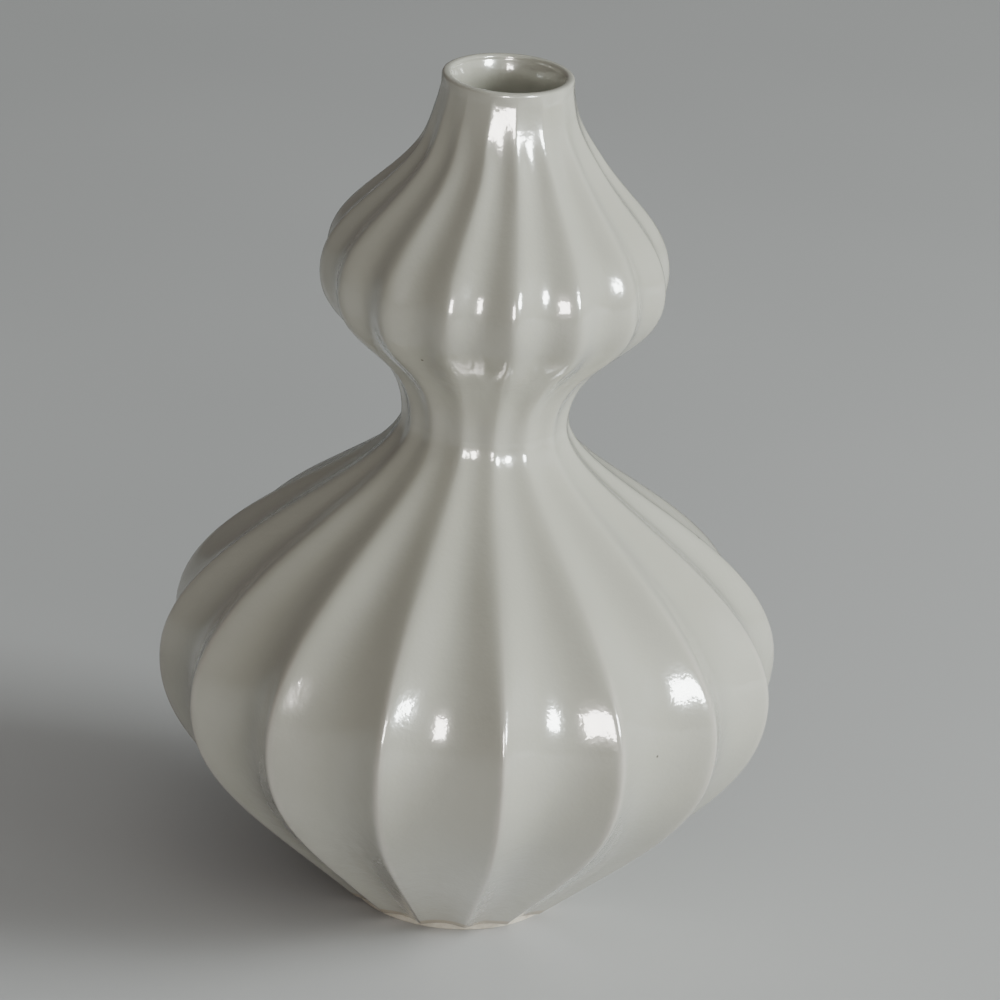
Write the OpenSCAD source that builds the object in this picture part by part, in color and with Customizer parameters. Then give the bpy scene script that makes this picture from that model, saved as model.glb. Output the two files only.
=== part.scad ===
// Fluted double-gourd vase, made in sections that are joined with slip: a foot ring, a floor disc,
// a lower and an upper bulb with a clay coil pressed into their joint, and a mouth collar.
// The origin is the centre of the face that the vase stands on. Z points up, out of the mouth.

/* [Heights] */
// Height of the vase, from the standing face to the crest of the lip
vase_h = 250; // [246:1:258]
// Height of the foot ring
foot_h = 2.2; // [1.8:0.2:3]
// Height of the lower bulb's widest ring
belly_z = 73.6; // [70:0.4:78]
// Height of the waist, where the two bulbs are joined
waist_z = 148.6; // [146:0.2:152]
// Height of the upper bulb's widest ring
crown_z = 191.5; // [189:0.5:194]
// Height of the mouth collar above its joint with the neck
collar_h = 10; // [8:0.5:12]
// Height of the rounded lip
lip_h = 1.2; // [1:0.1:2]
// Squareness of the lip's section, where 1 is a half ellipse and less is squarer
lip_form = 0.75; // [0.6:0.05:1]
// Height over which the mouth flares below the lip
flare_h = 6; // [5:0.5:7]

/* [Radii] */
// Outer radius of the foot ring
foot_r = 29.4; // [28.6:0.2:29.6]
// Radius at which the lower bulb's curve meets the standing face
flank_r = 30; // [29:0.5:32]
// Radius of the lower bulb at its widest ring
belly_r = 89; // [84:0.5:94]
// Radius of the waist
waist_r = 23.9; // [23.7:0.1:26]
// Radius of the upper bulb at its widest ring
crown_r = 49.4; // [46:0.2:53]
// Radius at which the neck's curve meets the height of the lip
rim_r = 18.4; // [18:0.1:20]
// Radius of the mouth's bore
bore_r = 14.8; // [14:0.1:15.5]
// Width of the mouth's flare, from the bore to the inner edge of the lip
flare_w = 1.2; // [0.8:0.1:1.4]

/* [Curves] */
// Lean of the flank where it leaves the foot, in degrees from upright
foot_lean = 47.3; // [45:0.1:50]
// Lean of the neck at the lip, in degrees from upright
neck_lean = 3.9; // [3:0.1:6]
// Pull of the foot on the curve above it, as a share of the foot-to-belly height
foot_pull = 0.64; // [0.54:0.01:0.66]
// Pull of the belly on the curve below it, as a share of the same height
belly_pull_low = 0.35; // [0.3:0.01:0.36]
// Pull of the belly on the curve above it, as a share of the belly-to-waist height
belly_pull_high = 0.48; // [0.44:0.01:0.54]
// Pull of the waist on the curve below it, as a share of the same height
waist_pull_low = 0.26; // [0.24:0.01:0.32]
// Pull of the waist on the curve above it, as a share of the waist-to-crown height
waist_pull_high = 0.51; // [0.42:0.01:0.54]
// Pull of the crown on the curve below it, as a share of the same height
crown_pull_low = 0.44; // [0.36:0.01:0.45]
// Pull of the crown on the curve above it, as a share of the crown-to-lip height
crown_pull_high = 0.37; // [0.34:0.01:0.42]
// Pull of the lip on the curve below it, as a share of the same height
lip_pull = 0.56; // [0.5:0.01:0.6]

/* [Flutes] */
// Number of hollow flutes round the vase
flutes = 16; // [14:1:18]
// Turn of the front arris from the vase's front, in degrees
arris_turn = 7.7; // [0:0.1:12]
// Depth of a flute on the lower bulb, as a share of the radius there
lower_depth = 0.074; // [0.06:0.002:0.084]
// Depth of a flute at the waist, as a share of the radius there
waist_depth = 0.03; // [0.02:0.005:0.04]
// Depth of a flute on the upper bulb, as a share of the radius there
upper_depth = 0.062; // [0.04:0.002:0.07]
// Height below the waist over which the flutes grow shallow
lower_blend_h = 40; // [30:1:44]
// Height above the waist over which they grow deep again
upper_blend_h = 34; // [26:1:38]
// Half width of a crisp arris between two flutes, as a share of half a flute
crisp_arris = 0.06; // [0.04:0.01:0.1]
// The same for a soft arris, as on the shoulder and above
soft_arris = 0.24; // [0.16:0.02:0.3]
// Share of a plain wave in the section of the soft flutes
waviness = 0.5; // [0.3:0.1:0.7]
// Height at which the arrises begin to soften
soft_from = 80; // [76:1:90]
// Height from which they are soft
soft_to = 128; // [120:1:140]
// Height below the collar over which the flutes fade out
fade_h = 14; // [10:0.5:18]

/* [Walls and joints] */
// Thickness of the wall at the bottom of a flute
wall = 3.6; // [3.2:0.1:4]
// Thickness of the floor disc
floor_t = 4.5; // [4:0.5:6]
// Width by which the floor disc rests on the foot ring
floor_seat = 1.6; // [1:0.2:2]
// Width of the foot ring's resting side
foot_w = 7; // [6:0.5:7.5]
// Outer radius of the waist coil, which is also the radius of its rebate
coil_r = 21.2; // [20.8:0.1:21.6]
// Height of the waist coil
coil_h = 8; // [6:0.5:8]
// Thickness of the waist coil at its fullest
coil_t = 3; // [2:0.1:4]
// Outer radius of the collar's spigot
spigot_r = 17.8; // [17.5:0.1:17.9]
// Length of the collar's spigot
spigot_h = 4; // [3:0.5:5]
// Clearance at the luted joints, none where slip has drawn them shut
joint_gap = 0; // [0:0.05:0.1]

/* [Hidden] */
glaze_colour = [0.71, 0.70, 0.66];
clay_colour = [0.80, 0.77, 0.71];
facets = 96;
half_steps = 4;
rows_per_curve = 11;
closeness = 1.3;
eps = 0.5;

// Angle of the vase's front, which faces -Y
front = -90;

// Where the pieces meet
floor_top = foot_h + floor_t;
floor_r = foot_r - foot_w + floor_seat;
collar_z = vase_h - collar_h;
socket_z = collar_z - spigot_h;
lip_z = vase_h - lip_h;
ledge_w = 0.8;

// Each curve of the outline is [start, its handle, end's handle, end], as [radius, height]
foot_reach = foot_pull * belly_z;
lip_reach = lip_pull * (vase_h - crown_z);
flank = [
    [flank_r, 0],
    [flank_r + foot_reach * sin(foot_lean), foot_reach * cos(foot_lean)],
    [belly_r, belly_z * (1 - belly_pull_low)],
    [belly_r, belly_z]
];
shoulder = [
    [belly_r, belly_z],
    [belly_r, belly_z + belly_pull_high * (waist_z - belly_z)],
    [waist_r, waist_z - waist_pull_low * (waist_z - belly_z)],
    [waist_r, waist_z]
];
cup = [
    [waist_r, waist_z],
    [waist_r, waist_z + waist_pull_high * (crown_z - waist_z)],
    [crown_r, crown_z - crown_pull_low * (crown_z - waist_z)],
    [crown_r, crown_z]
];
neck = [
    [crown_r, crown_z],
    [crown_r, crown_z + crown_pull_high * (vase_h - crown_z)],
    [rim_r + lip_reach * sin(neck_lean), vase_h - lip_reach * cos(neck_lean)],
    [rim_r, vase_h]
];

function on_curve(c, t) =
    pow(1 - t, 3) * c[0] + 3 * pow(1 - t, 2) * t * c[1] + 3 * (1 - t) * t * t * c[2] + pow(t, 3) * c[3];

function along_curve(c, t) =
    pow(1 - t, 2) * (c[1] - c[0]) + 2 * (1 - t) * t * (c[2] - c[1]) + t * t * (c[3] - c[2]);

// Place on a curve, from 0 to 1, at which it reaches height z, found by halving
function place_at(c, z, low = 0, high = 1, left = 24) =
    let (middle = (low + high) / 2)
    left == 0 ? middle
        : on_curve(c, middle)[1] < z ? place_at(c, z, middle, high, left - 1)
        : place_at(c, z, low, middle, left - 1);

function steps(from, to) = [for (i = [0 : rows_per_curve]) from + (to - from) * i / rows_per_curve];

function smooth(x) = let (s = min(1, max(0, x))) s * s * (3 - 2 * s);

// Depth of the flutes at height z, as a share of the radius: least at the waist, and none at the collar
function depth_at(z) =
    let (
        lower = (lower_depth - waist_depth) * smooth((waist_z - z) / lower_blend_h),
        upper = (upper_depth - waist_depth) * smooth((z - waist_z) / upper_blend_h)
    )
    (waist_depth + lower + upper) * smooth((collar_z - z) / fade_h);

// Softness of the arrises at height z, from 0 to 1
function soft_at(z) = smooth((z - soft_from) / (soft_to - soft_from));

// Section of a flute with a rounded arris, where s runs from 0 at the arris to 1 at the flute's bottom
function hollow(s, arris) = 2 * (sqrt(s * s + arris * arris) - arris) - s * s;

// Section of a flute at height z, from 0 at the arris to 1 at its bottom
function across(s, z) =
    let (
        k = soft_at(z),
        arris = crisp_arris + (soft_arris - crisp_arris) * k,
        wave = (1 - cos(180 * s)) / 2
    )
    (1 - waviness * k) * hollow(s, arris) / hollow(1, arris) + waviness * k * wave;

// Radius of the fluted surface at height z, where r is the radius of its arrises
function fluted_r(r, z, s) = r * (1 - depth_at(z) * across(s, z));

// Point of the inner wall, square to the outline and one wall's thickness in from a flute's bottom
function inner_point(c, t) =
    let (p = on_curve(c, t), d = along_curve(c, t), n = norm(d))
    [p[0] * (1 - depth_at(p[1])) - wall * d[1] / n, p[1] + wall * d[0] / n];

place_foot = place_at(flank, foot_h);
place_collar = place_at(neck, collar_z);
place_lip = place_at(neck, lip_z);
lower_rows = concat(
    [for (t = steps(place_foot, 1)) on_curve(flank, t)],
    [for (t = steps(0, 1)) if (t > 0) on_curve(shoulder, t)]
);
upper_rows = concat(
    [for (t = steps(0, 1)) on_curve(cup, t)],
    [for (t = steps(0, place_collar)) if (t > 0) on_curve(neck, t)]
);
lower_inner = concat(
    [for (t = steps(place_foot, 1)) inner_point(flank, t)],
    [for (t = steps(0, 1)) if (t > 0) inner_point(shoulder, t)]
);
upper_inner = concat(
    [for (t = steps(0, 1)) inner_point(cup, t)],
    [for (t = steps(0, place_collar)) if (t > 0) inner_point(neck, t)]
);

// Solid of fluted rounds, one round of points for each [radius, height] in rows
module fluted_solid(rows) {
    flute = 2 * half_steps;
    round = flutes * flute;
    last = len(rows) - 1;
    // Steps are closer together at an arris
    half = [for (i = [0 : half_steps]) pow(i / half_steps, closeness)];
    points = [
        for (row = rows, k = [0 : round - 1])
            let (
                i = k % flute,
                s = i <= half_steps ? half[i] : half[flute - i],
                turn = i <= half_steps ? s / 2 : 1 - s / 2,
                angle = front + arris_turn + 360 / flutes * (floor(k / flute) + turn),
                r = fluted_r(row[0], row[1], s)
            )
            [r * cos(angle), r * sin(angle), row[1]]
    ];
    sides = [
        for (i = [0 : last - 1], k = [0 : round - 1])
            let (next = (k + 1) % round)
            [i * round + k, (i + 1) * round + k, (i + 1) * round + next, i * round + next]
    ];
    bottom = [for (k = [0 : round - 1]) k];
    top = [for (k = [round - 1 : -1 : 0]) last * round + k];
    polyhedron(points, concat([bottom, top], sides));
}

// Ring turned from a section given as [radius, height]
module turned(section) {
    rotate_extrude($fn = facets) polygon(section);
}

module ring_cut(r, from, to) {
    translate([0, 0, from]) cylinder(h = to - from, r = r, $fn = facets);
}

// Ring that the vase stands on, with its lower edges softened
module foot_ring() {
    soft = foot_h / 4;
    color(clay_colour)
        turned([
            [foot_r - foot_w, soft],
            [foot_r - foot_w + soft, 0],
            [foot_r - soft, 0],
            [foot_r, soft],
            [foot_r, foot_h - joint_gap],
            [foot_r - foot_w, foot_h - joint_gap]
        ]);
}

// Floor, let into the bottom of the lower bulb
module floor_disc() {
    color(glaze_colour) ring_cut(floor_r - joint_gap, foot_h, floor_top);
}

module lower_bulb() {
    cavity = concat(
        [[0, floor_top], [floor_r, floor_top]],
        [for (p = lower_inner) if (p[1] > floor_top + eps && p[1] < waist_z) p],
        [[lower_inner[len(lower_inner) - 1][0], waist_z + eps], [0, waist_z + eps]]
    );
    color(glaze_colour)
        difference() {
            fluted_solid(lower_rows);
            turned(cavity);
            ring_cut(floor_r, -eps, floor_top + eps);
            ring_cut(coil_r, waist_z - coil_h / 2, waist_z + eps);
        }
}

// Coil of clay pressed into the rebate across the waist joint, bulging inward
module waist_coil() {
    edge_r = upper_inner[0][0];
    bulge = edge_r - coil_r + coil_t;
    bulge_steps = 12;
    color(glaze_colour)
        turned(concat(
            [
                for (i = [0 : bulge_steps])
                    let (s = 2 * i / bulge_steps - 1)
                    [edge_r - bulge * cos(90 * s), waist_z + s * coil_h / 2]
            ],
            [[coil_r - joint_gap, waist_z + coil_h / 2], [coil_r - joint_gap, waist_z - coil_h / 2]]
        ));
}

module upper_bulb() {
    ledge_r = spigot_r - ledge_w;
    cavity = concat(
        [[0, waist_z - eps], [upper_inner[0][0], waist_z - eps]],
        [for (p = upper_inner) if (p[1] > waist_z && p[1] < socket_z - spigot_h) p],
        [[ledge_r, socket_z], [ledge_r, socket_z + eps], [0, socket_z + eps]]
    );
    color(glaze_colour)
        difference() {
            fluted_solid(upper_rows);
            turned(cavity);
            ring_cut(coil_r, waist_z - eps, waist_z + coil_h / 2);
            ring_cut(spigot_r, socket_z, collar_z + eps);
        }
}

// Plain top of the neck: spigot below, rounded lip above, and the bore that flares toward the lip
module mouth_collar() {
    rise = steps(place_collar, place_lip);
    outside = [for (t = rise) on_curve(neck, t)];
    lip_edge_r = outside[len(outside) - 1][0];
    mouth_r = bore_r + flare_w;
    lip_half = (lip_edge_r - mouth_r) / 2;
    lip_steps = 16;
    lip = [
        for (i = [1 : lip_steps])
            let (angle = 180 * i / lip_steps, side = sign(cos(angle)) * pow(abs(cos(angle)), lip_form))
            [mouth_r + lip_half * (1 + side), lip_z + lip_h * pow(sin(angle), lip_form)]
    ];
    flare_steps = 8;
    flare = [
        for (i = [1 : flare_steps])
            let (down = i / flare_steps)
            [bore_r + flare_w * pow(1 - down, 2), lip_z - flare_h * down]
    ];
    color(glaze_colour)
        turned(concat(
            [[bore_r, socket_z], [spigot_r - joint_gap, socket_z], [spigot_r - joint_gap, collar_z]],
            outside,
            lip,
            flare
        ));
}

foot_ring();
floor_disc();
lower_bulb();
waist_coil();
upper_bulb();
mouth_collar();
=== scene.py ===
"""Looks of the fluted double-gourd vase: its pieces in glaze and bare clay, its floor, lights and camera.

Sizes are in metres.
"""
import math

import bpy
import numpy as np
from mathutils import Matrix, Vector


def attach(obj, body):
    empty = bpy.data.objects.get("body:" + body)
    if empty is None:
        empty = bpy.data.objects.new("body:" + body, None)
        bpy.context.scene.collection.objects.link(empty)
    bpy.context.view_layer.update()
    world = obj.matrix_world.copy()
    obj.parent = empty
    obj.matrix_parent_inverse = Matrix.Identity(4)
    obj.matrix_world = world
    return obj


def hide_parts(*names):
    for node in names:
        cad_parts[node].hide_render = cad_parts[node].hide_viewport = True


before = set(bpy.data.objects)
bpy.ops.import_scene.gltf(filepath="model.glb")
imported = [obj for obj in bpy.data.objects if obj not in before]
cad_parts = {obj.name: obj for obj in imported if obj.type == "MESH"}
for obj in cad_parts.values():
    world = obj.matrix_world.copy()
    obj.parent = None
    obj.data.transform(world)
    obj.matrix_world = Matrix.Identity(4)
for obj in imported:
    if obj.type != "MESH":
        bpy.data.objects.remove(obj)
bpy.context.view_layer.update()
MM = 0.001

# Sizes that the vase's solids are built from
VASE_H = 250 * MM
FOOT_H = 2.2 * MM
BELLY_Z = 73.6 * MM
WAIST_Z = 148.6 * MM
CROWN_Z = 191.5 * MM
COLLAR_Z = 240 * MM
LIP_H = 1.2 * MM
LIP_FORM = 0.75
FOOT_R = 29.4 * MM
FLANK_R = 30 * MM
BELLY_R = 89 * MM
WAIST_R = 23.9 * MM
CROWN_R = 49.4 * MM
RIM_R = 18.4 * MM
BORE_R = 14.8 * MM
FLARE_W = 1.2 * MM
FLARE_H = 6 * MM
FOOT_LEAN = math.radians(47.3)
NECK_LEAN = math.radians(3.9)
FOOT_PULL = 0.64
BELLY_PULL_LOW = 0.35
BELLY_PULL_HIGH = 0.48
WAIST_PULL_LOW = 0.26
WAIST_PULL_HIGH = 0.51
CROWN_PULL_LOW = 0.44
CROWN_PULL_HIGH = 0.37
LIP_PULL = 0.56
FLUTES = 16
FRONT = math.radians(-90)
ARRIS_TURN = math.radians(7.7)
LOWER_DEPTH = 0.074
WAIST_DEPTH = 0.03
CRISP_ARRIS = 0.06
SOFT_ARRIS = 0.24
WAVINESS = 0.5
SOFT_FROM = 80 * MM
SOFT_TO = 128 * MM
LOWER_BLEND_H = 40 * MM
UPPER_BLEND_H = 34 * MM
WALL = 3.6 * MM
FLOOR_TOP = 6.7 * MM
FLOOR_R = 24 * MM
FOOT_W = 7 * MM
COIL_R = 21.2 * MM
COIL_H = 8 * MM
COIL_T = 3 * MM
SPIGOT_R = 17.8 * MM
SOCKET_Z = 236 * MM
LEDGE_R = 17 * MM

# The flutes of the upper bulb are a little shallower here than in the solid, which has 0.062
UPPER_DEPTH = 0.058

# The flutes grow shallow on the neck, run on over the collar as nearly flat sides, and end below the lip
NECK_DEPTH = 0.014
NECK_FROM = 225 * MM
NECK_TO = 245 * MM
NECK_CRISPNESS = 0.75
FADE_H = 2.5 * MM

# The neck is turned a little on its way up, and is drawn a little toward +X below the collar
NECK_TURN = math.radians(1.6)
SWAY = 1.3 * MM
SWAY_FROM = 196 * MM
SWAY_FULL = 226 * MM

# Points across half a flute, and how much closer together they stand at its arris
HALF_FLUTE = 10
ARRIS_GATHER = 1.5

# Rounds of points along the curves, and how many of the outer ones the inside goes by
FLANK_ROUNDS = 60
SHOULDER_ROUNDS = 60
CUP_ROUNDS = 45
NECK_ROUNDS = 50
COLLAR_ROUNDS = 24
LIP_ROUNDS = 24
FLARE_ROUNDS = 16
COIL_ROUNDS = 21
FOOT_EDGE_ROUNDS = 7
INSIDE_STEP = 3
PLACE_HALVINGS = 30

# Clear height between the inside of the upper bulb and the socket's ledge
LEDGE_H = 4 * MM

# The rounded edges of the foot ring, as a share of its height
FOOT_EDGE = 0.25

# Radii of the rounds on the floor disc
DISC_RADII = np.array([1 * MM, 8 * MM, 16 * MM, 22 * MM, FLOOR_R])

SHARP_EDGE = math.radians(40)


def curve(start, start_handle, end_handle, end):
    return np.array([start, start_handle, end_handle, end])


foot_reach = FOOT_PULL * BELLY_Z
lip_reach = LIP_PULL * (VASE_H - CROWN_Z)
flank = curve(
    (FLANK_R, 0),
    (FLANK_R + foot_reach * math.sin(FOOT_LEAN), foot_reach * math.cos(FOOT_LEAN)),
    (BELLY_R, BELLY_Z * (1 - BELLY_PULL_LOW)),
    (BELLY_R, BELLY_Z),
)
shoulder = curve(
    (BELLY_R, BELLY_Z),
    (BELLY_R, BELLY_Z + BELLY_PULL_HIGH * (WAIST_Z - BELLY_Z)),
    (WAIST_R, WAIST_Z - WAIST_PULL_LOW * (WAIST_Z - BELLY_Z)),
    (WAIST_R, WAIST_Z),
)
cup = curve(
    (WAIST_R, WAIST_Z),
    (WAIST_R, WAIST_Z + WAIST_PULL_HIGH * (CROWN_Z - WAIST_Z)),
    (CROWN_R, CROWN_Z - CROWN_PULL_LOW * (CROWN_Z - WAIST_Z)),
    (CROWN_R, CROWN_Z),
)
neck = curve(
    (CROWN_R, CROWN_Z),
    (CROWN_R, CROWN_Z + CROWN_PULL_HIGH * (VASE_H - CROWN_Z)),
    (RIM_R + lip_reach * math.sin(NECK_LEAN), VASE_H - lip_reach * math.cos(NECK_LEAN)),
    (RIM_R, VASE_H),
)


def on_curve(c, t):
    t = np.asarray(t)[..., None]
    return (1 - t) ** 3 * c[0] + 3 * (1 - t) ** 2 * t * c[1] + 3 * (1 - t) * t * t * c[2] + t**3 * c[3]


def along_curve(c, t):
    t = np.asarray(t)[..., None]
    return (1 - t) ** 2 * (c[1] - c[0]) + 2 * (1 - t) * t * (c[2] - c[1]) + t * t * (c[3] - c[2])


def place_at(c, z):
    """Place on a curve, from 0 to 1, at which it reaches height z."""
    low, high = 0.0, 1.0
    for _ in range(PLACE_HALVINGS):
        middle = (low + high) / 2
        if on_curve(c, middle)[1] < z:
            low = middle
        else:
            high = middle
    return (low + high) / 2


place_foot = place_at(flank, FOOT_H)
place_collar = place_at(neck, COLLAR_Z)
place_lip = place_at(neck, VASE_H - LIP_H)


def smooth(x):
    s = np.clip(x, 0, 1)
    return s * s * (3 - 2 * s)


def neck_share(z):
    """How far the form has gone over from the bulb's to the neck's at height z, from 0 to 1."""
    return smooth((z - NECK_FROM) / (NECK_TO - NECK_FROM))


def depth_at(z):
    """Depth of the flutes at height z, as a share of the radius."""
    lower = (LOWER_DEPTH - WAIST_DEPTH) * smooth((WAIST_Z - z) / LOWER_BLEND_H)
    upper = (UPPER_DEPTH - WAIST_DEPTH) * smooth((z - WAIST_Z) / UPPER_BLEND_H)
    bulbs = WAIST_DEPTH + lower + upper
    return (bulbs + (NECK_DEPTH - bulbs) * neck_share(z)) * smooth((VASE_H - LIP_H - z) / FADE_H)


def hollow(s, arris):
    """Section of a flute with a rounded arris, where s is 0 at the arris and 1 at the flute's bottom."""
    return 2 * (np.sqrt(s * s + arris * arris) - arris) - s * s


def across(s, z):
    """Section of a flute at height z: its share of the depth, from 0 at the arris to 1 at its bottom."""
    k = smooth((z - SOFT_FROM) / (SOFT_TO - SOFT_FROM)) * (1 - NECK_CRISPNESS * neck_share(z))
    arris = CRISP_ARRIS + (SOFT_ARRIS - CRISP_ARRIS) * k
    wave = (1 - np.cos(math.pi * s)) / 2
    return (1 - WAVINESS * k) * hollow(s, arris) / hollow(1, arris) + WAVINESS * k * wave


def round_angles():
    """Angles round the vase, with each one's distance from the nearest arris, from 0 to 1."""
    half = (np.arange(HALF_FLUTE) / HALF_FLUTE) ** ARRIS_GATHER
    from_arris = np.concatenate([half, [1.0], half[:0:-1]])
    steps = np.concatenate([half, [1.0], 2 - half[:0:-1]]) / 2
    angles = [FRONT + ARRIS_TURN + (k + a) * 2 * math.pi / FLUTES for k in range(FLUTES) for a in steps]
    return np.array(angles), np.tile(from_arris, FLUTES)


ANGLES, FROM_ARRIS = round_angles()


def sway(z):
    """How far the neck is drawn toward +X at height z. At the collar it is back on the axis."""
    rise = smooth((z - SWAY_FROM) / (SWAY_FULL - SWAY_FROM))
    return SWAY * rise * smooth((COLLAR_Z - z) / (COLLAR_Z - SWAY_FULL))


def fluted_rounds(rows):
    """Rounds of points on the fluted surface, one for each [radius, height] row."""
    r = rows[:, 0][:, None]
    z = rows[:, 1][:, None]
    radius = r * (1 - depth_at(z) * across(FROM_ARRIS[None], z))
    angles = ANGLES + NECK_TURN * neck_share(z)
    x = radius * np.cos(angles) + sway(z)
    return np.stack([x, radius * np.sin(angles), np.broadcast_to(z, radius.shape)], -1)


def plain_rounds(rows):
    """Round rings of points, one for each [radius, height] row."""
    r = rows[:, 0][:, None]
    z = rows[:, 1][:, None]
    heights = np.broadcast_to(z, (len(rows), len(ANGLES)))
    return np.stack([r * np.cos(ANGLES), r * np.sin(ANGLES), heights], -1)


def inner_rows(c, places):
    """Rows of the inside, a wall's thickness in from the bottoms of the flutes on a curve."""
    p = on_curve(c, places)
    d = along_curve(c, places)
    n = np.linalg.norm(d, axis=1)
    r = p[:, 0] * (1 - depth_at(p[:, 1])) - WALL * d[:, 1] / n
    z = p[:, 1] + WALL * d[:, 0] / n
    return np.stack([r, z], -1)


def piece(name, node, material, rounds, closed_section=True):
    """Object from rounds of points.

    Its section closes on itself, or else its first and last rounds are filled with a flat face.
    """
    count, around = rounds.shape[:2]
    verts = rounds.reshape(-1, 3)
    faces = []
    last = count if closed_section else count - 1
    for i in range(last):
        j = (i + 1) % count
        for k in range(around):
            n = (k + 1) % around
            faces.append((i * around + k, i * around + n, j * around + n, j * around + k))
    if not closed_section:
        faces.append(tuple(range(around - 1, -1, -1)))
        faces.append(tuple(range((count - 1) * around, count * around)))
    mesh = bpy.data.meshes.new(name)
    mesh.from_pydata([tuple(v) for v in verts], [], faces)
    mesh.validate()
    mesh.polygons.foreach_set("use_smooth", [True] * len(mesh.polygons))
    mesh.set_sharp_from_angle(angle=SHARP_EDGE)
    mesh.materials.append(material)
    obj = bpy.data.objects.new(name, mesh)
    bpy.context.collection.objects.link(obj)
    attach(obj, "root")
    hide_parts(node)
    return obj


def node_tree(name):
    material = bpy.data.materials.new(name)
    material.use_nodes = True
    tree = material.node_tree
    return material, tree, tree.nodes["Principled BSDF"]


def add(tree, kind, inputs=(), **settings):
    """Shader node whose inputs are set to numbers or linked to other nodes' outputs."""
    node = tree.nodes.new(kind)
    for key, value in settings.items():
        setattr(node, key, value)
    for key, value in inputs:
        if hasattr(value, "is_output"):
            tree.links.new(value, node.inputs[key])
        else:
            node.inputs[key].default_value = value
    return node


def ramp(tree, factor, stops):
    node = add(tree, "ShaderNodeValToRGB", [("Fac", factor)])
    elements = node.color_ramp.elements
    for element, (place, colour) in zip(elements, stops):
        element.position = place
        element.color = (*colour, 1)
    return node.outputs["Color"]


def math_node(tree, operation, *values):
    return add(tree, "ShaderNodeMath", list(enumerate(values)), operation=operation).outputs[0]


def fade(tree, value, start, end):
    """1 where the value is at start, easing to 0 at end."""
    inputs = [("Value", value), ("From Min", start), ("From Max", end), ("To Min", 1.0), ("To Max", 0.0)]
    return add(tree, "ShaderNodeMapRange", inputs, interpolation_type="SMOOTHSTEP").outputs[0]


def object_place(tree):
    return add(tree, "ShaderNodeTexCoord").outputs["Object"]


def noise(tree, place, scale, detail=2.0):
    inputs = [("Vector", place), ("Scale", scale), ("Detail", detail)]
    return add(tree, "ShaderNodeTexNoise", inputs).outputs["Fac"]


def tint(tree, colour, share, other):
    """Colour mixed with another by a share from 0 to 1."""
    node = add(tree, "ShaderNodeMix", data_type="RGBA")
    tree.links.new(share, node.inputs["Factor"])
    tree.links.new(colour, node.inputs["A"])
    node.inputs["B"].default_value = (*other, 1)
    return node.outputs["Result"]


def bump(tree, height, distance, below=None, strength=1.0):
    node = add(tree, "ShaderNodeBump", [("Height", height), ("Strength", strength), ("Distance", distance)])
    if below is not None:
        tree.links.new(below, node.inputs["Normal"])
    return node.outputs["Normal"]


# A material's first colour shows where its noise is at or below the low value, and its other above the high
NOISE_LOW = 0.3
NOISE_HIGH = 0.7

# Glaze: its clouds run from the deep to the pale colour
GLAZE_DEEP = (0.478, 0.466, 0.404)
GLAZE_PALE = (0.524, 0.512, 0.450)
CLOUD_SCALE = 22.0
CLOUD_DETAIL = 3.0

# It pools toward the middle of a flute; distances from an arris are shares of a flute's width
GLAZE_POOLED = (0.415, 0.41, 0.35)
MID_FLUTE = 0.5
POOL_FROM = 0.15
POOL_SHARE = 0.5
POOL_SCALE = 35.0

# It is thin beside an arris, with a ragged edge
GLAZE_THIN = (0.60, 0.56, 0.51)
ON_ARRIS = 0.01
ARRIS_GLAZE = 0.06
THIN_SHARE = 0.55
RAGGED_SCALE = 160.0
RAGGED_W = 0.05

# It ends in an uneven line just above the foot, where the clay stains it
GLAZE_STAINED = (0.42, 0.34, 0.25)
STAIN_SCALE = 120.0
STAIN_UNEVEN_H = 2.5 * MM
STAIN_H = 1.2 * MM
STAIN_SHARE = 0.7

# Specks of iron stand in a few of the cells, with sizes as shares of a cell
IRON = (0.05, 0.035, 0.025)
SPECK_SCALE = 110.0
SPECK_CHOICE = 0.96
SPECK_CORE = 0.03
SPECK_EDGE = 0.055
SPECK_SHARE = 0.75

GLAZE_ROUGHNESS = 0.2
GLAZE_IOR = 1.5
COAT_IOR = 1.6
COAT_ROUGHNESS = 0.05

# Slow unevenness of the wall, the peel of the glaze and its fine ripple: scale, detail and height of each
GLAZE_BUMPS = [(45.0, 2.0, 0.16 * MM), (260.0, 2.0, 0.065 * MM), (900.0, 1.0, 0.032 * MM)]

CLAY_DARK = (0.60, 0.54, 0.45)
CLAY_LIGHT = (0.74, 0.69, 0.60)
GRAIN_SCALE = 600.0
GRAIN_DETAIL = 4.0
GRAIN_H = 0.3 * MM
GRAIN_STRENGTH = 0.6
CLAY_ROUGHNESS = 0.85


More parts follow.
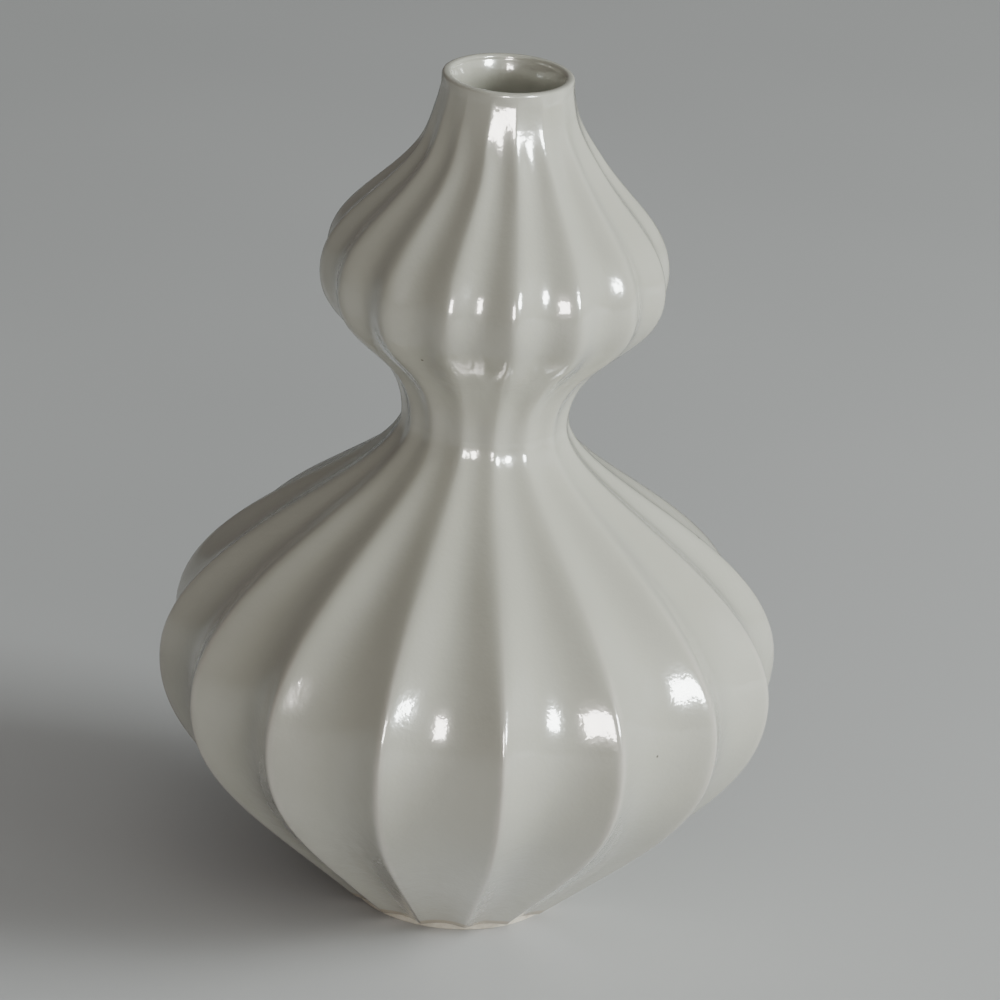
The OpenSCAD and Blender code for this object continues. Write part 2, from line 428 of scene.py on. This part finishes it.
def glaze_material():
    """Glossy glaze: clouded, thin and pale on crisp arrises, deeper in the hollows, with specks of iron."""
    material, tree, shader = node_tree("glaze")
    place = object_place(tree)
    axes = add(tree, "ShaderNodeSeparateXYZ", [("Vector", place)]).outputs
    height = axes["Z"]

    # Distance from the nearest arris: 0 on it, a half in the middle of a flute
    angle = math_node(tree, "ARCTAN2", axes["Y"], axes["X"])
    per_turn = FLUTES / (2 * math.pi)
    turns = math_node(tree, "MULTIPLY_ADD", angle, per_turn, -(FRONT + ARRIS_TURN) * per_turn)
    from_arris = math_node(tree, "PINGPONG", turns, MID_FLUTE)

    cloud = noise(tree, place, CLOUD_SCALE, CLOUD_DETAIL)
    colour = ramp(tree, cloud, [(NOISE_LOW, GLAZE_DEEP), (NOISE_HIGH, GLAZE_PALE)])
    pool_range = [("From Min", POOL_FROM), ("From Max", MID_FLUTE), ("To Max", POOL_SHARE)]
    hollow_share = add(tree, "ShaderNodeMapRange", [("Value", from_arris), *pool_range]).outputs[0]
    pooled = math_node(tree, "MULTIPLY", hollow_share, noise(tree, place, POOL_SCALE))
    colour = tint(tree, colour, pooled, GLAZE_POOLED)

    ragged = math_node(tree, "MULTIPLY_ADD", noise(tree, place, RAGGED_SCALE), RAGGED_W, -RAGGED_W / 2)
    edge = fade(tree, math_node(tree, "ADD", from_arris, ragged), ON_ARRIS, ARRIS_GLAZE)
    crisp = fade(tree, height, SOFT_FROM, SOFT_TO)
    thin = math_node(tree, "MULTIPLY", edge, crisp)
    colour = tint(tree, colour, math_node(tree, "MULTIPLY", thin, THIN_SHARE), GLAZE_THIN)

    foot_edge = math_node(tree, "MULTIPLY_ADD", noise(tree, place, STAIN_SCALE), STAIN_UNEVEN_H, FOOT_H)
    stained = fade(tree, math_node(tree, "SUBTRACT", height, foot_edge), 0.0, STAIN_H)
    colour = tint(tree, colour, math_node(tree, "MULTIPLY", stained, STAIN_SHARE), GLAZE_STAINED)

    cells = add(tree, "ShaderNodeTexVoronoi", [("Vector", place), ("Scale", SPECK_SCALE)])
    lot = add(tree, "ShaderNodeSeparateXYZ", [("Vector", cells.outputs["Color"])]).outputs["X"]
    chosen = math_node(tree, "GREATER_THAN", lot, SPECK_CHOICE)
    spot = fade(tree, cells.outputs["Distance"], SPECK_CORE, SPECK_EDGE)
    speck = math_node(tree, "MULTIPLY", spot, chosen)
    colour = tint(tree, colour, math_node(tree, "MULTIPLY", speck, SPECK_SHARE), IRON)

    tree.links.new(colour, shader.inputs["Base Color"])
    shader.inputs["Roughness"].default_value = GLAZE_ROUGHNESS
    shader.inputs["IOR"].default_value = GLAZE_IOR
    shader.inputs["Coat Weight"].default_value = 1.0
    shader.inputs["Coat IOR"].default_value = COAT_IOR
    shader.inputs["Coat Roughness"].default_value = COAT_ROUGHNESS

    normal = None
    for scale, detail, distance in GLAZE_BUMPS:
        normal = bump(tree, noise(tree, place, scale, detail), distance, normal)
    tree.links.new(normal, shader.inputs["Normal"])
    tree.links.new(normal, shader.inputs["Coat Normal"])
    return material


def clay_material():
    """Matt bare clay with a fine grain."""
    material, tree, shader = node_tree("bare_clay")
    grain = noise(tree, object_place(tree), GRAIN_SCALE, GRAIN_DETAIL)
    colour = ramp(tree, grain, [(NOISE_LOW, CLAY_DARK), (NOISE_HIGH, CLAY_LIGHT)])
    tree.links.new(colour, shader.inputs["Base Color"])
    shader.inputs["Roughness"].default_value = CLAY_ROUGHNESS
    tree.links.new(bump(tree, grain, GRAIN_H, strength=GRAIN_STRENGTH), shader.inputs["Normal"])
    return material


glaze = glaze_material()
bare_clay = clay_material()


def foot_ring():
    soft = FOOT_H * FOOT_EDGE
    turn = np.linspace(0, math.pi / 2, FOOT_EDGE_ROUNDS)
    inner_r = FOOT_R - FOOT_W
    inner_edge = np.stack([inner_r + soft * (1 - np.cos(turn)), soft * (1 - np.sin(turn))], -1)
    outer_edge = np.stack([FOOT_R - soft * (1 - np.sin(turn)), soft * (1 - np.cos(turn))], -1)
    top = np.array([[FOOT_R, FOOT_H], [inner_r, FOOT_H]])
    rounds = plain_rounds(np.concatenate([inner_edge, outer_edge, top]))
    return piece("foot_ring_bare", "foot_ring", bare_clay, rounds)


def floor_disc():
    count = len(DISC_RADII)
    under = np.stack([DISC_RADII, np.full(count, FOOT_H)], -1)
    over = np.stack([DISC_RADII[::-1], np.full(count, FLOOR_TOP)], -1)
    rounds = plain_rounds(np.concatenate([under, over]))
    return piece("floor_disc_glazed", "floor_disc", glaze, rounds, closed_section=False)


def lower_bulb():
    rise = np.linspace(place_foot, 1, FLANK_ROUNDS)
    fall = np.linspace(0, 1, SHOULDER_ROUNDS)
    outside = np.concatenate([on_curve(flank, rise), on_curve(shoulder, fall)[1:]])
    inside = [inner_rows(flank, rise[::INSIDE_STEP]), inner_rows(shoulder, fall[::INSIDE_STEP])]
    inside = np.concatenate(inside)
    inside = inside[(inside[:, 1] > FLOOR_TOP) & (inside[:, 1] < WAIST_Z - COIL_H / 2)]
    rebate = np.array([[COIL_R, WAIST_Z - COIL_H / 2], [COIL_R, WAIST_Z]])
    hole = np.array([[FLOOR_R, FOOT_H], [FLOOR_R, FLOOR_TOP]])
    loop = np.concatenate([hole, inside, rebate])[::-1]
    rounds = np.concatenate([fluted_rounds(outside), plain_rounds(loop)])
    return piece("lower_bulb_glazed", "lower_bulb", glaze, rounds)


def waist_coil():
    edge_r = inner_rows(cup, np.array([0.0]))[0][0]
    bulge = edge_r - COIL_R + COIL_T
    s = np.linspace(-1, 1, COIL_ROUNDS)
    inside = np.stack([edge_r - bulge * np.cos(s * math.pi / 2), WAIST_Z + s * COIL_H / 2], -1)
    back = np.array([[COIL_R, WAIST_Z - COIL_H / 2], [COIL_R, WAIST_Z + COIL_H / 2]])
    rounds = plain_rounds(np.concatenate([back, inside[::-1]]))
    return piece("waist_coil_glazed", "waist_coil", glaze, rounds)


def upper_bulb():
    rise = np.linspace(0, 1, CUP_ROUNDS)
    fall = np.linspace(0, place_collar, NECK_ROUNDS)
    outside = np.concatenate([on_curve(cup, rise), on_curve(neck, fall)[1:]])
    inside = [inner_rows(cup, rise[::INSIDE_STEP]), inner_rows(neck, fall[::INSIDE_STEP])]
    inside = np.concatenate(inside)
    inside = inside[(inside[:, 1] > WAIST_Z + COIL_H / 2) & (inside[:, 1] < SOCKET_Z - LEDGE_H)]
    rebate = np.array([[COIL_R, WAIST_Z], [COIL_R, WAIST_Z + COIL_H / 2]])
    socket = np.array([[LEDGE_R, SOCKET_Z], [SPIGOT_R, SOCKET_Z], [SPIGOT_R, COLLAR_Z]])
    loop = np.concatenate([rebate, inside, socket])[::-1]
    rounds = np.concatenate([fluted_rounds(outside), plain_rounds(loop)])
    return piece("upper_bulb_glazed", "upper_bulb", glaze, rounds)


def mouth_collar():
    outside = on_curve(neck, np.linspace(place_collar, place_lip, COLLAR_ROUNDS))
    mouth_r = BORE_R + FLARE_W
    half = (outside[-1][0] - mouth_r) / 2
    turn = np.linspace(0, math.pi, LIP_ROUNDS + 1)[1:]
    side = np.sign(np.cos(turn)) * np.abs(np.cos(turn)) ** LIP_FORM
    lip_z = VASE_H - LIP_H + LIP_H * np.abs(np.sin(turn)) ** LIP_FORM
    lip = np.stack([mouth_r + half * (1 + side), lip_z], -1)
    down = np.linspace(0, 1, FLARE_ROUNDS + 1)[1:]
    flare = np.stack([BORE_R + FLARE_W * (1 - down) ** 2, VASE_H - LIP_H - FLARE_H * down], -1)
    bore = np.array([[BORE_R, SOCKET_Z]])
    spigot = np.array([[SPIGOT_R, SOCKET_Z], [SPIGOT_R, COLLAR_Z]])
    inside = plain_rounds(np.concatenate([lip, flare, bore, spigot]))
    rounds = np.concatenate([fluted_rounds(outside), inside])
    return piece("mouth_collar_glazed", "mouth_collar", glaze, rounds)


foot_ring()
floor_disc()
lower_bulb()
waist_coil()
upper_bulb()
mouth_collar()

FLOOR_SIZE = 6.0
FLOOR_DARK = (0.46, 0.46, 0.47)
FLOOR_LIGHT = (0.50, 0.50, 0.51)
FLOOR_CLOUD_SCALE = 3.0
FLOOR_ROUGHNESS = 0.8

# The flag stands behind the vase: its distance from the axis, and its corners as seen from the front
FLAG_Y = 0.25
FLAG_CORNERS = [(-0.18, 0), (0.16, 0), (0.16, 0.22), (-0.18, 0.22)]
FLAG_GREY = (0.18, 0.18, 0.18, 1)


def flat_card(name, corners, material):
    mesh = bpy.data.meshes.new(name)
    mesh.from_pydata(corners, [], [(0, 1, 2, 3)])
    mesh.materials.append(material)
    card = bpy.data.objects.new(name, mesh)
    bpy.context.collection.objects.link(card)
    return card


def stage_floor():
    material, tree, shader = node_tree("floor_pale")
    cloud = noise(tree, object_place(tree), FLOOR_CLOUD_SCALE)
    colour = ramp(tree, cloud, [(NOISE_LOW, FLOOR_DARK), (NOISE_HIGH, FLOOR_LIGHT)])
    tree.links.new(colour, shader.inputs["Base Color"])
    shader.inputs["Roughness"].default_value = FLOOR_ROUGHNESS
    ways = [(-1, -1), (1, -1), (1, 1), (-1, 1)]
    floor = flat_card("floor", [(x * FLOOR_SIZE, y * FLOOR_SIZE, 0) for x, y in ways], material)


def dark_flag():
    """Dark card behind the vase that only reflections show, so that its edges stand out from the floor."""
    material, _, shader = node_tree("flag_dark")
    shader.inputs["Base Color"].default_value = FLAG_GREY
    shader.inputs["Roughness"].default_value = 1.0
    flag = flat_card("flag", [(x, FLAG_Y, z) for x, z in FLAG_CORNERS], material)
    flag.visible_camera = False
    flag.visible_diffuse = False
    flag.visible_shadow = False


WARM = (1, 0.95, 0.88)
COOL = (0.94, 1, 0.97)

# Height that the lights are turned toward, on the vase's axis
AIM_Z = 0.45 * VASE_H


def card_light(
    name, azimuth, away, low, high, width, glow, colour, shines=True, lights=True, shape="RECTANGLE"
):
    """Upright flat light turned toward the vase's axis.

    Its azimuth is in degrees from the camera's side, growing to the right. It stands away from the axis,
    from height low to height high, and glow is its radiance in watts per steradian and square metre. Only
    a light that shines shows in reflections, and only one that lights falls on matt colour.
    """
    turn = FRONT + math.radians(azimuth)
    place = Vector((away * math.cos(turn), away * math.sin(turn), (low + high) / 2))
    aim = Vector((0, 0, AIM_Z))
    data = bpy.data.lights.new(name, "AREA")
    data.shape = shape
    data.size = width
    data.size_y = high - low
    data.energy = glow * math.pi * width * (high - low)
    data.color = colour
    light = bpy.data.objects.new(name, data)
    light.location = place
    light.rotation_euler = (aim - place).to_track_quat("-Z", "Y").to_euler()
    light.visible_glossy = shines
    light.visible_diffuse = lights
    bpy.context.collection.objects.link(light)


# The surroundings: the side they are brightest on, and how far round from the dim side each colour is met
BRIGHT_SIDE = math.radians(70)
DIM_SKY = (0.104, 0.090, 0.086)
PALE_SKY = (0.52, 0.55, 0.53)
DIM_UNTIL = 0.15
PALE_FROM = 0.9


def studio_world():
    """Soft surroundings that are pale and cool to the right of the camera and dim and warm to its left."""
    world = bpy.data.worlds.new("studio")
    world.use_nodes = True
    tree = world.node_tree
    turn = FRONT + BRIGHT_SIDE
    ways = add(tree, "ShaderNodeTexCoord").outputs["Generated"]
    bright_way = (math.cos(turn), math.sin(turn), 0.0)
    dot = add(tree, "ShaderNodeVectorMath", [(0, ways), (1, bright_way)], operation="DOT_PRODUCT")
    whole_range = [("Value", dot.outputs["Value"]), ("From Min", -1.0), ("From Max", 1.0)]
    share = add(tree, "ShaderNodeMapRange", whole_range).outputs[0]
    colour = ramp(tree, share, [(DIM_UNTIL, DIM_SKY), (PALE_FROM, PALE_SKY)])
    back = tree.nodes["Background"]
    tree.links.new(colour, back.inputs["Color"])
    back.inputs["Strength"].default_value = 1.0
    bpy.context.scene.world = world


def studio():
    studio_world()
    card_light(
        "lamp", azimuth=-0.5, away=0.8, low=0.215, high=0.455, width=0.18,
        glow=60, colour=WARM, lights=False,
    )
    card_light(
        "window", azimuth=42.5, away=1.5, low=0.50, high=0.96, width=0.46,
        glow=70, colour=COOL, lights=False, shape="ELLIPSE",
    )
    card_light(
        "top_fill", azimuth=0, away=1.0, low=1.43, high=2.23, width=0.8,
        glow=0.8, colour=WARM, shines=False,
    )
    card_light(
        "front_fill", azimuth=12, away=1.2, low=0.15, high=0.65, width=0.6,
        glow=3.2, colour=WARM, shines=False,
    )
    card_light(
        "side_fill", azimuth=80, away=1.78, low=0.44, high=1.24, width=0.8,
        glow=23, colour=COOL, shines=False,
    )


# The camera, in heights of the vase and pixels of a 1000 by 1000 picture
CAMERA_AWAY = 6.433
CAMERA_UP = 3.145
CAMERA_TILT = math.radians(22.43)
CAMERA_PAN = math.radians(0.21)
CAMERA_ROLL = math.radians(4.04)
CAMERA_FOCAL_PX = 6114
PICTURE_PX = 1000
SENSOR_MM = 36


def camera():
    forward = Vector((
        math.sin(CAMERA_PAN) * math.cos(CAMERA_TILT),
        math.cos(CAMERA_PAN) * math.cos(CAMERA_TILT),
        -math.sin(CAMERA_TILT),
    ))
    level = Vector((math.cos(CAMERA_PAN), -math.sin(CAMERA_PAN), 0))
    upright = level.cross(forward)
    right = math.cos(CAMERA_ROLL) * level + math.sin(CAMERA_ROLL) * upright
    up = -math.sin(CAMERA_ROLL) * level + math.cos(CAMERA_ROLL) * upright
    pose = Matrix((right, up, -forward)).transposed().to_4x4()
    pose.translation = Vector((0, -CAMERA_AWAY * VASE_H, CAMERA_UP * VASE_H))
    data = bpy.data.cameras.new("camera")
    data.sensor_width = SENSOR_MM
    data.lens = CAMERA_FOCAL_PX / PICTURE_PX * SENSOR_MM
    obj = bpy.data.objects.new("camera", data)
    obj.matrix_world = pose
    bpy.context.collection.objects.link(obj)
    bpy.context.scene.camera = obj


stage_floor()
dark_flag()
studio()
camera()
